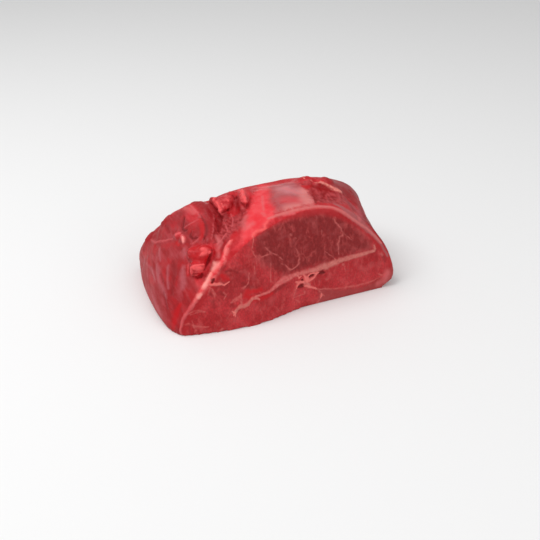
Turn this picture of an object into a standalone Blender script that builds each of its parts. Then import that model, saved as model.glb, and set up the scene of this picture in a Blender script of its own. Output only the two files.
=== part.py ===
"""Beef chuck blade: one raw piece of shoulder cut as a thick slice, resting on its flat underside.

+X runs along the front cut, +Y goes back from it and +Z is up. Lengths are millimetres while the
shape is worked out and metres in the finished mesh. The origin is the middle of the bounding box
at its foot.
"""

import math
from collections import namedtuple

import bmesh
import bpy
from mathutils import Matrix, Vector, noise
from mathutils.bvhtree import BVHTree

MM = 0.001

# The two cuts of the slice
DEPTH = 110.0
FRONT_LEAN = math.radians(10.0)
BACK_LEAN = math.radians(9.0)
FRONT_BOW = 8.0
BOW_WIDTH = 102.0
FACE_SWELL = 2.0
FRONT_ROUND = 2.6
BACK_ROUND = 9.0
BACK_TUCK = 3.5

# Foot of the flanks, tucked in under the piece, and the height over which relief fades to the base
TUCK_HEIGHT = 10.0
BASE_FADE = 6.0

# Mesh
OVER_POINTS = 60
BASE_POINTS = 11
CAP_RINGS = 7
EDGE_STEPS = (0.0, 0.004, 0.012, 0.024)
MIDDLE_FROM = 0.05
MIDDLE_STEPS = 27
OUTLINE_SAMPLES = 160

# Outline across the piece at a share of its depth: the widths at the foot, the crown, how square
# each shoulder is, and how far each flank tucks in at the foot
Section = namedtuple(
    "Section", "share left crown_x crown_z right left_power right_power tuck_left tuck_right"
)
SECTIONS = (
    Section(0.00, -1.0, 98.0, 71.0, 171.5, 1.50, 2.05, 1.0, 12.0),
    Section(0.10, -7.0, 100.0, 72.0, 172.0, 1.72, 2.15, 1.5, 9.0),
    Section(0.25, -9.5, 104.0, 72.3, 174.0, 1.92, 2.35, 2.5, 7.0),
    Section(0.45, -9.5, 110.0, 71.5, 175.5, 2.00, 2.80, 3.0, 7.0),
    Section(0.65, -7.5, 113.0, 68.5, 176.0, 2.10, 2.95, 3.0, 7.0),
    Section(0.85, -3.5, 112.0, 62.0, 173.0, 2.15, 2.70, 3.0, 7.0),
    Section(1.00, 0.5, 108.0, 56.0, 169.0, 2.15, 2.50, 3.0, 7.0),
)

# Relief of the skin: how far it stands out, or sinks where the height is negative, along a path
Relief = namedtuple("Relief", "path reach height")
RELIEFS = {
    "lump shoulder": Relief(((8, 99, 28), (20, 90, 44)), 12.0, 2.0),
    "lump crown": Relief(((27, 86, 52), (38, 81, 59)), 13.0, 6.4),
    "left end": Relief(((-2, 103, 18), (2, 98, 18)), 8.0, 1.4),
    "round muscle": Relief(((33, 76, 57), (29, 64, 54), (30, 46, 54)), 9.0, 4.2),
    "fold beside it": Relief(((46, 80, 60), (42, 62, 60), (38, 44, 58), (33, 31, 55)), 5.0, 3.0),
    "groove of the fold": Relief(((58, 92, 55), (53.5, 74, 60), (51, 58, 60)), 4.6, -6.2),
    "foot of the fold": Relief(((51, 58, 61), (46, 42, 60), (40, 29, 57)), 4.6, -2.8),
    "nodule root": Relief(((20, 29, 46), (25, 19, 46)), 7.0, 1.4),
    "torn hollow": Relief(((58, 44, 65), (52, 26, 61)), 8.0, -2.8),
    "lower seam": Relief(((-2, 2, 4), (5, 3, 18), (19, 6, 35), (29, 9, 45)), 4.0, 1.6),
    "upper seam": Relief(((30, 9.3, 46), (36, 12, 52), (44, 15, 58)), 4.0, 1.6),
    "crevice": Relief(((37, 20, 54), (29, 13, 47), (20, 8, 36)), 4.0, -3.4),
    "crown band": Relief(((50, 19, 62), (59, 26, 66), (74, 42, 71), (84, 58, 71)), 8.0, 2.0),
    "torn patch": Relief(((116, 40, 73), (128, 34, 71)), 10.0, -3.0),
    "crease of the flank": Relief(((146, 44, 63), (147, 30, 61), (144, 17, 58)), 4.0, -1.8),
    "far shoulder": Relief(((160, 62, 56), (162, 52, 54)), 9.0, 2.0),
    "dip behind the band": Relief(((86, 78, 66), (108, 80, 67)), 13.0, -2.2),
    "right shoulder": Relief(((166, 44, 46), (164, 20, 40)), 10.0, -3.2),
    "crest": Relief(((128, 60, 71), (137, 54, 71)), 7.0, 2.8),
    "crease of the end": Relief(((-6, 98, 9), (-3, 86, 14)), 5.0, -2.5),
}

# Torn crags that stand on the skin: place across it, height of the middle over the skin there, half
# sizes, and turn about +Z in degrees
Crag = namedtuple("Crag", "x y rise half_x half_y half_z turn")
CRAGS = {
    "flap": Crag(56.0, 59.5, 3.4, 6.6, 9.0, 6.2, -25.0),
    "flap edge": Crag(50.2, 61.0, 6.0, 2.8, 9.6, 6.0, 6.0),
    "flap tip": Crag(50.0, 48.0, 2.8, 3.6, 4.0, 4.4, 20.0),
    "flap shoulder": Crag(62.8, 61.0, 1.2, 4.0, 7.0, 5.6, -25.0),
    "second flap": Crag(67.4, 50.5, 0.4, 3.9, 13.0, 5.8, -18.0),
    "second flap tip": Crag(63.4, 38.5, 0.0, 3.4, 4.0, 4.4, -18.0),
    "second flap side": Crag(73.8, 58.0, -1.2, 4.0, 8.0, 5.4, -22.0),
    "nodule base": Crag(22.0, 24.0, -0.2, 8.2, 5.8, 4.8, -40.0),
    "nodule high": Crag(26.0, 21.0, 2.4, 3.2, 3.9, 3.8, 10.0),
    "nodule right": Crag(29.4, 18.4, 2.2, 2.9, 3.2, 3.4, 0.0),
    "nodule low": Crag(23.0, 17.8, 2.8, 2.6, 3.2, 3.2, -20.0),
    "block": Crag(18.4, 15.6, 1.4, 5.6, 3.9, 4.6, -20.0),
    "fat lobe": Crag(18.6, 57.5, 0.3, 2.6, 4.4, 1.9, 0.0),
    "small fat lobe": Crag(19.4, 48.5, 0.3, 2.2, 3.8, 1.8, 12.0),
}
CRAG_SQUARENESS = 3.4
CRAG_ROUGHNESS = 0.12
CRAG_GRAIN = 0.32

# Strand of tendon that lies across the torn patch
TENDON_PATH = ((121, 66), (124, 59.5), (128, 52), (133.5, 46.5), (139, 43), (144.5, 40.5))
TENDON_RISE = 0.3
TENDON_RADIUS = 1.7
TENDON_SIDES = 8


def smooth(value):
    """0 below 0, 1 above 1 and an even slope between."""
    value = min(max(value, 0.0), 1.0)
    return value * value * (3.0 - 2.0 * value)


def section_at(share):
    """The section between its two neighbours in the table, on a smooth curve through them."""
    last = len(SECTIONS) - 1
    here = max(i for i in range(last) if SECTIONS[i].share <= share)
    before, start, end, after = (SECTIONS[min(max(here + k, 0), last)] for k in (-1, 0, 1, 2))
    span = end.share - start.share
    u = (share - start.share) / span
    values = [share]
    for a, b, c, d in list(zip(before, start, end, after))[1:]:
        slope_start = span * (c - a) / max(end.share - before.share, span)
        slope_end = span * (d - b) / max(after.share - start.share, span)
        values.append(
            (2 * u**3 - 3 * u**2 + 1) * b + (u**3 - 2 * u**2 + u) * slope_start
            + (3 * u**2 - 2 * u**3) * c + (u**3 - u**2) * slope_end
        )
    return Section(*values)


def tucked(x, z, middle, section):
    """The flank drawn in towards the middle where it nears the ground."""
    pull = max(0.0, 1.0 - z / TUCK_HEIGHT) ** 2
    return x + pull * section.tuck_left if x < middle else x - pull * section.tuck_right


def even_points(line, count):
    """That many points at equal steps along a line of points."""
    lengths = [0.0]
    for a, b in zip(line, line[1:]):
        lengths.append(lengths[-1] + (b - a).length)
    points, here = [], 0
    for k in range(count):
        wanted = lengths[-1] * k / (count - 1)
        while here < len(line) - 2 and lengths[here + 1] < wanted:
            here += 1
        u = (wanted - lengths[here]) / (lengths[here + 1] - lengths[here])
        points.append(line[here].lerp(line[here + 1], u))
    return points


def outline(section):
    """Points round the piece across its length, as (x, z): over the top from left to right, then back
    along the base."""
    line = []
    for k in range(2 * OUTLINE_SAMPLES + 1):
        angle = math.pi * k / (2 * OUTLINE_SAMPLES)
        power = section.left_power if k < OUTLINE_SAMPLES else section.right_power
        reach = section.crown_x - section.left if k < OUTLINE_SAMPLES else section.right - section.crown_x
        along = math.copysign(abs(math.cos(angle)) ** (2.0 / power), -math.cos(angle))
        z = section.crown_z * abs(math.sin(angle)) ** (2.0 / power) if 0 < k < 2 * OUTLINE_SAMPLES else 0.0
        line.append(Vector((tucked(section.crown_x + reach * along, z, section.crown_x, section), z)))
    over = even_points(line, OVER_POINTS)
    base = [over[-1].lerp(over[0], (k + 1) / (BASE_POINTS + 1)) for k in range(BASE_POINTS)]
    return over + base


def front_y(x, z, crown_z):
    """The front cut: it leans back, and its foot bows forward."""
    along = min(max(x / BOW_WIDTH, 0.0), 1.0)
    bow = FRONT_BOW * math.sin(math.pi * along) ** (1 if along < 0.5 else 2)
    return z * math.tan(FRONT_LEAN) - bow * max(0.0, 1.0 - z / crown_z) ** 1.3


def back_y(z):
    """The back cut leans forward, and its foot tucks in."""
    return DEPTH - z * math.tan(BACK_LEAN) - BACK_TUCK * max(0.0, 1.0 - z / TUCK_HEIGHT) ** 2


def rounding(distance, radius):
    """How far an edge is drawn in at this distance behind its face."""
    if distance >= radius:
        return 0.0
    return radius - math.sqrt(radius**2 - (radius - distance) ** 2)


def drawn_in(points, inset):
    """The outline moved inwards across itself, with its base left on the ground."""
    moved, count = [], len(points)
    for k, point in enumerate(points):
        run = points[(k + 1) % count] - points[k - 1]
        inward = Vector((run.y, -run.x)).normalized() * inset
        x, z = point.x + inward.x, point.y + inward.y
        on_base = k >= OVER_POINTS or k in (0, OVER_POINTS - 1)
        moved.append(Vector((x, 0.0 if on_base else max(z, 0.3))))
    return moved


def length_steps():
    """Shares of the depth at which the outline is placed, closer together at the two edges."""
    last = 1.0 - MIDDLE_FROM
    middle = [MIDDLE_FROM + (last - MIDDLE_FROM) * k / (MIDDLE_STEPS - 1) for k in range(MIDDLE_STEPS)]
    return [*EDGE_STEPS, *middle, *(1.0 - step for step in reversed(EDGE_STEPS))]


def ring(share):
    """The outline at this share of the depth, placed between the two cuts."""
    section = section_at(share)
    inset = rounding(share * DEPTH, FRONT_ROUND) + rounding((1.0 - share) * DEPTH, BACK_ROUND)
    placed = []
    for point in drawn_in(outline(section), inset):
        start = front_y(point.x, point.y, section.crown_z)
        y = start + (back_y(point.y) - start) * share
        placed.append(Vector((point.x, y, point.y)))
    return placed


def cap(mesh, edge, face_y, swell):
    """Rings that shrink to a middle point close one end, following its cut."""
    middle = sum((vert.co for vert in edge), Vector()) / len(edge)
    rings = [edge]
    for k in range(1, CAP_RINGS):
        size = 1.0 - k / CAP_RINGS
        row = []
        for vert in edge:
            point = middle.lerp(vert.co, size)
            y = face_y(point.x, point.z) + swell * (1.0 - size**2)
            row.append(mesh.verts.new((point.x, y, point.z)))
        rings.append(row)
    centre = mesh.verts.new((middle.x, face_y(middle.x, middle.z) + swell, middle.z))
    for outer, inner in zip(rings, rings[1:]):
        join_rings(mesh, outer, inner)
    for a, b in zip(rings[-1], rings[-1][1:] + rings[-1][:1]):
        mesh.faces.new((a, b, centre))


def join_rings(mesh, first, second):
    for k in range(len(first)):
        after = (k + 1) % len(first)
        mesh.faces.new((first[k], first[after], second[after], second[k]))


def away_from(point, path):
    """Distance from a point to a path of straight runs."""
    nearest = math.inf
    for start, end in zip(path, path[1:]):
        run = end - start
        u = min(max((point - start).dot(run) / run.length_squared, 0.0), 1.0)
        nearest = min(nearest, (point - start - run * u).length)
    return nearest


def raise_relief(mesh):
    """Moves the skin along its own normals. The flat base stays where it is."""
    mesh.normal_update()
    paths = [([Vector(point) for point in relief.path], relief) for relief in RELIEFS.values()]
    moves = []
    for vert in mesh.verts:
        rise = sum(
            relief.height * math.exp(-(away_from(vert.co, path) / relief.reach) ** 2)
            for path, relief in paths
        )
        moves.append(vert.normal * rise * smooth(vert.co.z / BASE_FADE))
    for vert, move in zip(mesh.verts, moves):
        vert.co += move


def slice_body():
    """The slice itself, as one closed mesh."""
    mesh = bmesh.new()
    rings = [[mesh.verts.new(point) for point in ring(share)] for share in length_steps()]
    for first, second in zip(rings, rings[1:]):
        join_rings(mesh, first, second)
    crown = SECTIONS[0].crown_z
    cap(mesh, rings[0], lambda x, z: front_y(x, z, crown), -FACE_SWELL)
    cap(mesh, rings[-1], lambda x, z: back_y(z), FACE_SWELL)
    bmesh.ops.recalc_face_normals(mesh, faces=mesh.faces)
    raise_relief(mesh)
    return mesh


def on_skin(skin, x, y, rise):
    """The point at this height over the skin, which is looked for from above."""
    hit = skin.ray_cast(Vector((x, y, 2.0 * DEPTH)), Vector((0.0, 0.0, -1.0)))[0]
    return hit + Vector((0.0, 0.0, rise))


def crag_body(crag, skin):
    """A squarish lump with an uneven surface, rooted in the skin."""
    mesh = bmesh.new()
    bmesh.ops.create_icosphere(mesh, subdivisions=3, radius=1.0)
    middle = on_skin(skin, crag.x, crag.y, crag.rise)
    turn = Matrix.Rotation(math.radians(crag.turn), 3, "Z")
    for vert in mesh.verts:
        size = sum(abs(part) ** CRAG_SQUARENESS for part in vert.co) ** (1.0 / CRAG_SQUARENESS)
        unit = vert.co / size
        shaped = turn @ Vector((unit.x * crag.half_x, unit.y * crag.half_y, unit.z * crag.half_z))
        uneven = 1.0 + CRAG_ROUGHNESS * noise.noise((middle + shaped) * CRAG_GRAIN)
        vert.co = middle + shaped * uneven
    return mesh


def strand_body(points, radius, sides):
    """A round strand through the points, thinner towards its ends."""
    mesh = bmesh.new()
    last = len(points) - 1
    rings = []
    for k, point in enumerate(points):
        run = (points[min(k + 1, last)] - points[max(k - 1, 0)]).normalized()
        side = run.cross(Vector((0.0, 0.0, 1.0))).normalized()
        up = side.cross(run)
        thick = radius * (0.6 + 0.4 * math.sin(math.pi * (k + 0.5) / (last + 1)))
        angles = [2 * math.pi * j / sides for j in range(sides)]
        rings.append([
            mesh.verts.new(point + (side * math.cos(angle) + up * math.sin(angle)) * thick)
            for angle in angles
        ])
    for first, second in zip(rings, rings[1:]):
        join_rings(mesh, first, second)
    mesh.faces.new(rings[0])
    mesh.faces.new(rings[-1])
    bmesh.ops.recalc_face_normals(mesh, faces=mesh.faces)
    return mesh


def join_to(piece, meshes):
    """One solid of the piece and everything that grows out of it."""
    group = bpy.data.collections.new("grown on")
    bpy.context.scene.collection.children.link(group)
    for k, mesh in enumerate(meshes):
        grown = add_object("grown_%d" % k, mesh)
        bpy.context.scene.collection.objects.unlink(grown)
        group.objects.link(grown)
    union = piece.modifiers.new("grown on", "BOOLEAN")
    union.operation = "UNION"
    union.solver = "EXACT"
    union.operand_type = "COLLECTION"
    union.collection = group
    graph = bpy.context.evaluated_depsgraph_get()
    joined = bpy.data.meshes.new_from_object(piece.evaluated_get(graph))
    piece.modifiers.clear()
    piece.data = joined
    for grown in list(group.objects):
        bpy.data.objects.remove(grown, do_unlink=True)
    bpy.data.collections.remove(group)


def raw_beef():
    material = bpy.data.materials.new("raw beef")
    material.use_nodes = True
    shader = material.node_tree.nodes["Principled BSDF"]
    shader.inputs["Base Color"].default_value = (0.36, 0.045, 0.045, 1.0)
    shader.inputs["Roughness"].default_value = 0.42
    return material


def add_object(name, mesh):
    data = bpy.data.meshes.new(name)
    mesh.to_mesh(data)
    mesh.free()
    thing = bpy.data.objects.new(name, data)
    bpy.context.scene.collection.objects.link(thing)
    return thing


def keep_outer_shell(thing):
    """Removes the pockets closed in between crags: everything not joined to the largest shell."""
    mesh = bmesh.new()
    mesh.from_mesh(thing.data)
    shells, seen = [], set()
    for start in mesh.verts:
        if start in seen:
            continue
        shell, waiting = [], [start]
        seen.add(start)
        while waiting:
            vert = waiting.pop()
            shell.append(vert)
            for edge in vert.link_edges:
                other = edge.other_vert(vert)
                if other not in seen:
                    seen.add(other)
                    waiting.append(other)
        shells.append(shell)
    shells.sort(key=len)
    for shell in shells[:-1]:
        bmesh.ops.delete(mesh, geom=shell, context="VERTS")
    mesh.to_mesh(thing.data)
    mesh.free()


def stand_on_origin(thing):
    """Metres, with the middle of the bounding box's foot at the origin."""
    corners = [vert.co for vert in thing.data.vertices]
    low = Vector([min(corner[axis] for corner in corners) for axis in range(3)])
    high = Vector([max(corner[axis] for corner in corners) for axis in range(3)])
    foot = Vector(((low.x + high.x) / 2, (low.y + high.y) / 2, low.z))
    for vert in thing.data.vertices:
        vert.co = (vert.co - foot) * MM


def main():
    for thing in list(bpy.data.objects):
        bpy.data.objects.remove(thing, do_unlink=True)
    body = slice_body()
    skin = BVHTree.FromBMesh(body)
    piece = add_object("chuck_blade", body)
    piece.data.materials.append(raw_beef())
    grown = [crag_body(crag, skin) for crag in CRAGS.values()]
    strand = [on_skin(skin, x, y, TENDON_RISE) for x, y in TENDON_PATH]
    grown.append(strand_body(strand, TENDON_RADIUS, TENDON_SIDES))
    join_to(piece, grown)
    keep_outer_shell(piece)
    stand_on_origin(piece)


main()
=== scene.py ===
"""Beef chuck blade, dressed: the plain solid is replaced by a finer skin with the grain of the meat.

Places on the meat are in millimetres in the part's own frame: +X along the front cut, +Y towards
the back cut, +Z up, with the origin in the middle of the underside. The last number of each point
of a line is the line's half width there.
"""

import math

import bmesh
import bpy
import numpy as np
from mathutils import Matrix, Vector, noise


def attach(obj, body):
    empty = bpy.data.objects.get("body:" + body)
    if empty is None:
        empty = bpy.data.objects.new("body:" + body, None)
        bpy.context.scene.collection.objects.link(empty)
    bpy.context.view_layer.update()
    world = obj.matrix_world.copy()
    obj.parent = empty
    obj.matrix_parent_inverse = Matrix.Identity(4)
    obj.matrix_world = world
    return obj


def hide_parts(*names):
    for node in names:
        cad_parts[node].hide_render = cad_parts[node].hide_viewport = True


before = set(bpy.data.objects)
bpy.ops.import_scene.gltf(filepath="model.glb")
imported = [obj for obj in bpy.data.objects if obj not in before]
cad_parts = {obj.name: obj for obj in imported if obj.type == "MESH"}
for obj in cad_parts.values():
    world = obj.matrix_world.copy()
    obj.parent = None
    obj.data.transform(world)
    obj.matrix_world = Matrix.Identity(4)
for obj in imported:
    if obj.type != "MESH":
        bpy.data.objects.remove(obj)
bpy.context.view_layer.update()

MM = 0.001

# Mesh of the skin
VOXEL = 1.3 * MM
SMOOTH_STEPS = 4
FINE_BEHIND_CUT = 3.0
FINE_ABOVE_Z = 0.6
FINE_ON_MARK = 0.35
FINE_NEAR_FAT = 1.7
HOLLOW_ABOVE_Z = 40.0

# The two cuts
FRONT_FOOT_Y = -50.8
FRONT_LEAN = math.tan(math.radians(10.0))
BOW_DEPTH = 8.0
BOW_START_X = -83.6
BOW_LENGTH = 102.0
CROWN_Z = 71.0
BACK_FOOT_Y = 59.2
BACK_LEAN = math.tan(math.radians(9.0))
BACK_CROWN_Z = 57.0
CUT_EDGE = 3.0
BACK_CUT_EDGE = 9.0
PATCH_EDGE = 8.0
RIM_HALF = 3.8

# Where the top and the right skin start, and where they are full
TOP_Z = (38.0, 46.0)
RIGHT_X = (46.0, 58.0)
RIGHT_SLANT = 0.15

# Streaks on the left flank run down and back by 23 degrees: the turn, its cosine and its sine
FLANK_TURN = math.radians(-23.0)
FLANK_COS = 0.92
FLANK_SIN = 0.39

# Lines of fat and gristle on the front cut, with veins, red streaks, and painted shade in holes and slits:
# (x, z, half width)
GRISTLE = (
    (
        (-30, 20.6, 0.5), (-26, 20.8, 0.7), (-22, 21.2, 0.9), (-19.5, 21.4, 0.9), (-16, 22.8, 1.1),
        (-13.4, 24, 1.4), (-9.9, 25.4, 1.7), (-6.5, 26.4, 1.9), (-2, 26.8, 1.8), (1, 27.4, 1.5),
        (4.5, 28, 1.3), (8.6, 27.6, 1.3), (13.1, 27.5, 1.5), (17.2, 27.5, 1.6), (20.5, 27.6, 1.8),
        (23.1, 28.1, 1.9), (26.8, 28.3, 2.1), (29.8, 28.2, 2.0), (35.7, 29.3, 1.8), (39.8, 30.2, 1.6),
        (44, 30.2, 1.5), (49, 30.3, 1.4), (54, 30.4, 1.3), (59.1, 30.5, 1.1), (64.1, 30.6, 1.0),
        (69.2, 30.6, 1.0), (69.9, 32.2, 0.8), (68.9, 35.1, 0.4),
    ),
    ((7.3, 21.3, 0.7), (10.5, 19.7, 1.2), (13.8, 17.6, 1)),
    (
        (-46.1, 12.7, 1.2), (-44.4, 14.6, 0.9), (-42, 16.2, 1.1), (-39.4, 16, 1.2), (-36.4, 16.5, 1.1),
        (-34.3, 18.5, 0.9), (-31.9, 19.9, 1), (-29.2, 19.5, 1), (-27.5, 18, 0.6),
    ),
)
FAT_KNOTS = (
    ((9.6, 26.1, 0.6), (10.8, 23.9, 1.2), (11.9, 22, 1.4)),
    ((4.3, 26.7, 0.4), (5.8, 24.8, 0.7), (7.5, 25.5, 0.4)),
    (
        (22.2, 24.8, 0.5), (20, 24.9, 0.9), (17, 25.4, 0.5), (14.8, 25.2, 0.6), (13.3, 24.2, 0.7),
        (12.1, 22.9, 1.1), (12.7, 21.4, 1.3),
    ),
    ((19.9, 24.2, 0.8), (18.3, 22, 0.7), (16.4, 21, 0.9), (14.5, 20.6, 1.1), (12.7, 20.6, 1.3)),
    ((10.5, 24.4, 0.7), (10.9, 22.2, 1.0), (11.9, 20.6, 1.2)),
    ((2.9, 22.6, 0.4), (5.1, 20.9, 1.1), (7, 20.8, 1.1), (9.2, 20.7, 0.6)),
    ((5.2, 20.4, 1.0), (3.6, 19, 0.9), (2.9, 17.3, 0.4)),
    ((9, 17.8, 0.5), (11.6, 16.8, 0.9), (14.2, 15.6, 0.8), (16.7, 14.3, 0.7), (19.2, 12.5, 0.6)),
    ((23.4, 7.6, 0.5), (23.7, 6.5, 0.9), (23.2, 4.5, 0.6)),
    ((-46, 12.3, 0.9), (-47.6, 10.4, 0.3)),
    ((-46, 12.3, 0.9), (-46.4, 9.6, 0.3)),
    ((-46, 12.3, 0.8), (-48.4, 14, 0.3)),
    ((-60.3, 33.6, 0.6), (-57.5, 33.7, 1.0), (-54.6, 33.6, 1.0), (-51.2, 32.3, 0.5), (-47.4, 33.8, 0.3)),
)
VEINS = (
    ((-63.3, 27.5, 0.4), (-61.6, 29.7, 0.7), (-59.4, 30, 0.7), (-58.6, 26.1, 0.6), (-59, 23.4, 0.3)),
    ((-48.3, 19.7, 0.4), (-46, 20.7, 0.9), (-43, 21.9, 0.8), (-40.5, 23.9, 0.5)),
    ((-40.4, 24.9, 0.4), (-40.9, 21.2, 0.8), (-41, 17.7, 0.5)),
    ((-52.7, 23.1, 0.3), (-51, 25.6, 0.5), (-52.4, 27.6, 0.4)),
    (
        (21, 11.9, 0.4), (30.8, 9.6, 0.6), (43.3, 7.8, 0.7), (54.3, 6.9, 0.7), (64.7, 7.3, 0.7),
        (73.5, 9.2, 0.5),
    ),
    (
        (19.2, 12.5, 0.6), (21.4, 11.3, 0.6), (22.7, 8.9, 0.6), (23.7, 6.5, 0.8), (23.2, 4.5, 0.6),
        (22.4, 2.6, 0.6), (19.2, 0.1, 0.5),
    ),
    ((23.7, 6.5, 0.6), (26.6, 5, 0.2)),
    ((9.8, 12.8, 0.6), (10.1, 10.9, 0.5), (6.2, 10.7, 0.4), (0.3, 10.8, 0.4)),
    ((1.3, 9.1, 0.3), (4.3, 7.1, 0.4), (5.8, 5.6, 0.2)),
    ((2.4, 17, 0.5), (1, 12.6, 0.5), (-0.1, 9.9, 0.3)),
    (
        (6.9, 37.9, 0.5), (6.9, 35.2, 0.6), (4.2, 33.5, 0.4), (0.7, 32.3, 0.4), (-1.1, 32.5, 0.8),
        (-3.1, 35.6, 0.3),
    ),
    ((5.2, 46.4, 0.5), (6.2, 43.6, 0.6), (7.5, 40.3, 0.6), (7.3, 37.4, 0.6)),
    ((-41.8, 16.5, 0.4), (-41.5, 20, 0.4), (-40.2, 23.2, 0.3)),
    ((-15.8, 40.8, 0.3), (-16.3, 33.2, 0.4), (-17.4, 27.8, 0.3)),
    ((-1.1, 32.6, 0.5), (-5.3, 37.5, 0.4), (-7.7, 38.5, 0.3)),
    ((-18, 52, 0.3), (-15, 48, 0.5), (-10, 45, 0.5), (-6, 41, 0.4)),
    ((-15, 47, 0.5), (-22, 46, 0.3)),
    ((-28.1, 41.5, 0.3), (-28.3, 36.3, 0.6)),
    ((-25, 60, 0.3), (-28, 52, 0.5), (-26, 46, 0.4), (-26, 41, 0.3)),
    ((-32.5, 37.2, 0.4), (-33.5, 32.9, 0.5), (-34.6, 30.4, 0.4), (-36.2, 29.3, 0.5), (-38.6, 28.1, 0.7)),
    (
        (37.3, 61.3, 1.0), (38, 59.3, 0.6), (40.3, 55.9, 0.6), (42.5, 52.5, 0.6), (44, 49.6, 0.7),
        (43.1, 47.9, 0.7),
    ),
    (
        (43.1, 47.9, 0.7), (40.7, 47.6, 0.7), (40, 46.2, 0.6), (40.1, 44.3, 0.6), (38.6, 42.7, 1.1),
        (39, 39.6, 0.5), (38.9, 35, 0.4),
    ),
    ((44.2, 49, 0.4), (48.8, 44.9, 0.3), (50.5, 43, 0.2)),
    ((28, 39.3, 0.3), (32.7, 35.3, 0.4), (36.2, 31.9, 0.4)),
    ((26.5, 55.2, 0.4), (25.9, 52.4, 0.4)),
    ((43.4, 25, 0.5), (43.9, 20.2, 0.3)),
    ((2.0, 56.9, 0.7), (2.4, 56.4, 0.7)),
    ((5.2, 53.9, 0.5), (5.6, 53.4, 0.5)),
    ((41.6, 26.5, 0.8), (42.9, 25.7, 0.9)),
    ((28.1, 18.4, 0.9), (28.9, 17.9, 0.8)),
    ((75.6, 26.7, 0.8), (76.4, 25.7, 0.9)),
    ((71.3, 12.5, 0.4), (75.5, 10.1, 0.6)),
    ((-75.2, 2.5, 0.5), (-73, 1.5, 0.4)),
    ((-74.8, 6.1, 0.3), (-67.4, 5.4, 0.3)),
    ((-77, 15.5, 0.3), (-70, 16.8, 0.4), (-66, 16, 0.2)),
    ((-58.3, 0.9, 0.7), (-56.7, 2.3, 0.9)),
    ((-82.1, 8.9, 0.4), (-79.4, 9, 0.7), (-76.1, 8.1, 0.7), (-74.1, 6.7, 0.6), (-66.2, 5.4, 0.4)),
    ((-76.4, 11.1, 0.3), (-75.4, 7.2, 0.6), (-74.5, 3.4, 0.7)),
    ((-77.8, 16.3, 0.3), (-74.2, 18, 0.6), (-70.1, 17.7, 0.5), (-66.2, 16.1, 0.3)),
    ((-62.3, 29.4, 0.3), (-60.5, 31.8, 0.6), (-58.8, 29.6, 0.5), (-57.9, 26, 0.3)),
)
# Holes and slits in the cut, sunk a little and painted dark: painted shade inside them
SHADED_HOLES = (
    ((5.2, 17.7, 0.9), (7.9, 17.8, 1.3)),
    ((22.3, 24.2, 0.6), (24.4, 24.3, 1.4), (26.2, 23.6, 0.8)),
    ((8.1, 22.4, 0.5), (8.7, 22.3, 0.6)),
    ((-59.2, 34.9, 0.5), (-58.4, 36.1, 0.9), (-57.4, 37.2, 0.4)),
)
SHADED_LOOP_HOLE = (((14.8, 23.2, 0.6), (17.4, 23.7, 0.6)),)
RED_STREAKS = (
    ((-36, 21.5, 1.4), (-30, 19, 1.6), (-24, 18.6, 1.5), (-17, 19.5, 1.0)),
    ((-51.7, 39.3, 0.9), (-50.6, 37.1, 1.8), (-48, 36, 1.4)),
    ((-37.7, 22.6, 1.4), (-36, 24.4, 2.2), (-32.3, 24.3, 1.5), (-24.6, 24.4, 1)),
)
SHADES = (
    ((-53.9, 40.2, 0.8), (-52, 43.2, 1.2), (-48.6, 44.6, 0.8)),
    ((-48.6, 41.1, 0.6), (-44.3, 41.1, 0.8), (-40.3, 39.4, 0.8)),
    ((-38, 30.9, 1.2), (-33.3, 27.3, 1.8), (-27.6, 25.8, 1.4)),
    ((-60.9, 22.3, 1.2), (-60.3, 18.7, 0.9)),
    ((-47.8, 18.2, 1.4), (-45.1, 17.1, 1)),
    ((-61.7, 28.7, 1), (-60.3, 26.4, 1)),
    ((-54.6, 28.4, 0.8), (-52.1, 25.5, 0.8)),
    ((-16, 19.6, 0.8), (-10, 21.8, 1.4), (-5, 23, 0.8)),
    ((75.9, 26, 1), (77.5, 23.2, 1.6), (78.3, 20.7, 1)),
)
DARK_MUSCLE = (
    (-25, 60.5), (-17, 65.5), (-5, 68.5), (10, 69.5), (23, 69), (36, 65.5), (48, 59), (59, 49.5),
    (67.5, 39), (69, 31), (43, 31), (24, 29.5), (6, 28.5), (-4, 28), (-12, 33), (-22, 40), (-27, 48),
)
LEFT_MUSCLE = ((-62, 30), (-48, 42), (-34, 42), (-26, 36), (-20, 28), (-34, 24), (-48, 20), (-60, 20))
LOWER_MEMBRANE = (
    (21.5, 12), (31.3, 9.4), (41.4, 6.8), (51.3, 5.6), (60.2, 5.1), (69.3, 6.3), (77.6, 9.2),
    (84.4, 16.1), (96, 16), (96, -8), (21, -8),
)
RIM = (
    (-84, 2), (-84, 8), (-77.8, 16), (-68.6, 26), (-59.4, 36), (-48.7, 48.4), (-42.5, 56), (-28.2, 63),
    (-18.3, 65.6), (-11.1, 68), (0.4, 70.5), (14.8, 71.1), (29.3, 70), (43.8, 63.8), (57.2, 55.6),
    (69.1, 43.5), (78.3, 30.2), (84.4, 17.3), (86, 9.6),
)

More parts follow.
